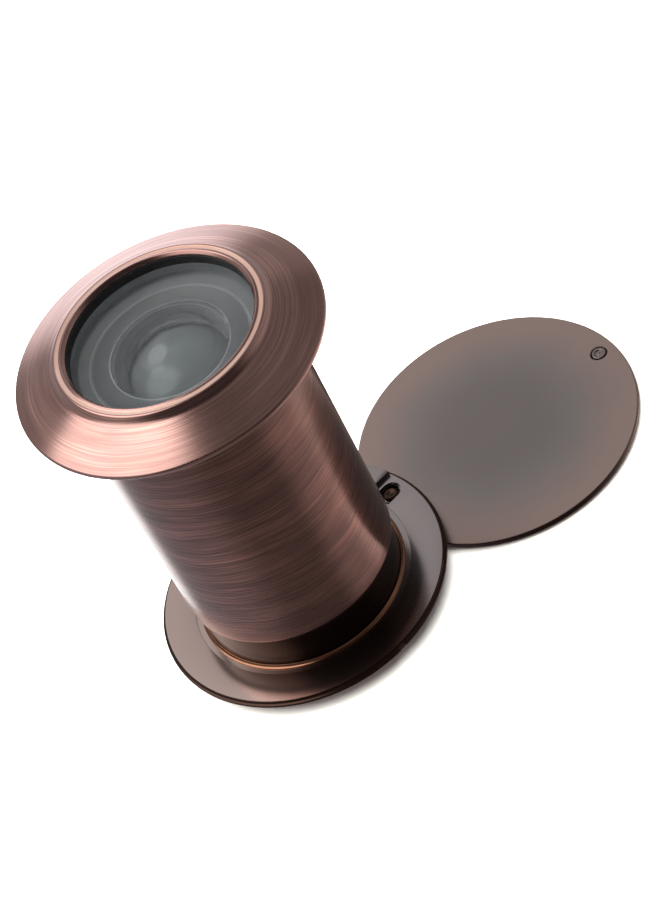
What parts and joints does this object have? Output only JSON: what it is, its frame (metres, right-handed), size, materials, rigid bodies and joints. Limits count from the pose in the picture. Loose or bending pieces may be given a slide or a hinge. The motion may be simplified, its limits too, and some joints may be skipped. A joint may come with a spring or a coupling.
{
  "type": "door viewer",
  "caption": "Wide-angle door viewer: a flanged barrel with a fisheye objective screws onto an eyepiece tube with a round rosette and a swinging privacy cover.",
  "frame": {"origin": "middle of the footprint, on the surface that the viewer stands on with its room side down; the sight line stands 15.59 mm towards -X and 1.49 mm towards +Y from it", "axes": "+Z along the sight line from the eyepiece to the street-side objective; +X from the sight line towards the pivot of the cover"},
  "size_m": [0.0692, 0.041, 0.0509],
  "materials": {
    "brushed_copper": "antique copper plate on turned brass, brushed round the axis and lacquered",
    "dark_copper": "darkened copper plate on brass, smooth and glossy",
    "bright_copper": "bright copper plate on brass, polished",
    "black_rubber": "matt black moulded rubber",
    "blackened_ring": "matt black moulded plastic",
    "optical_glass": "polished and coated",
    "steel": "bright steel"
  },
  "bodies": {
    "eyepiece_unit": {"rosette": "dark_copper", "eyepiece_tube": "dark_copper", "root_ring": "bright_copper", "eyepiece_lens": "optical_glass", "eyepiece_retainer": "blackened_ring", "baffle_sleeve": "blackened_ring", "relay_lens": "optical_glass", "relay_retainer": "blackened_ring", "pivot_rivet": "steel", "spring_washer": "steel"},
    "lens_stack": {"lens_gasket": "black_rubber", "objective_lens": "optical_glass", "front_spacer": "blackened_ring", "second_lens": "optical_glass", "rear_spacer": "blackened_ring", "field_stop": "blackened_ring"},
    "barrel": {"flange_bezel": "brushed_copper", "outer_barrel": "brushed_copper"},
    "cover": {"cover_disc": "dark_copper", "finger_stud": "dark_copper"}
  },
  "joints": [
    {"name": "barrel_travel", "type": "slide", "parent": "eyepiece_unit", "child": "lens_stack", "axis": [0, 0, 1], "range_m": [-0.0042, 0.0096]},
    {"name": "barrel_turn", "type": "hinge", "parent": "lens_stack", "child": "barrel", "pos_m": [-0.01559, 0.00149, 0.025], "axis": [0, 0, 1], "range_deg": [-1008, 2304]},
    {"name": "cover_swing", "type": "hinge", "parent": "eyepiece_unit", "child": "cover", "pos_m": [0.00041, 0.00149, 0.001], "axis": [0, 0, 1], "range_deg": [-167.6, 192.4]}
  ],
  "couplings": [
    {"joint": "barrel_travel", "follows": "barrel_turn", "m_per_rad": 0.00023873}
  ]
}
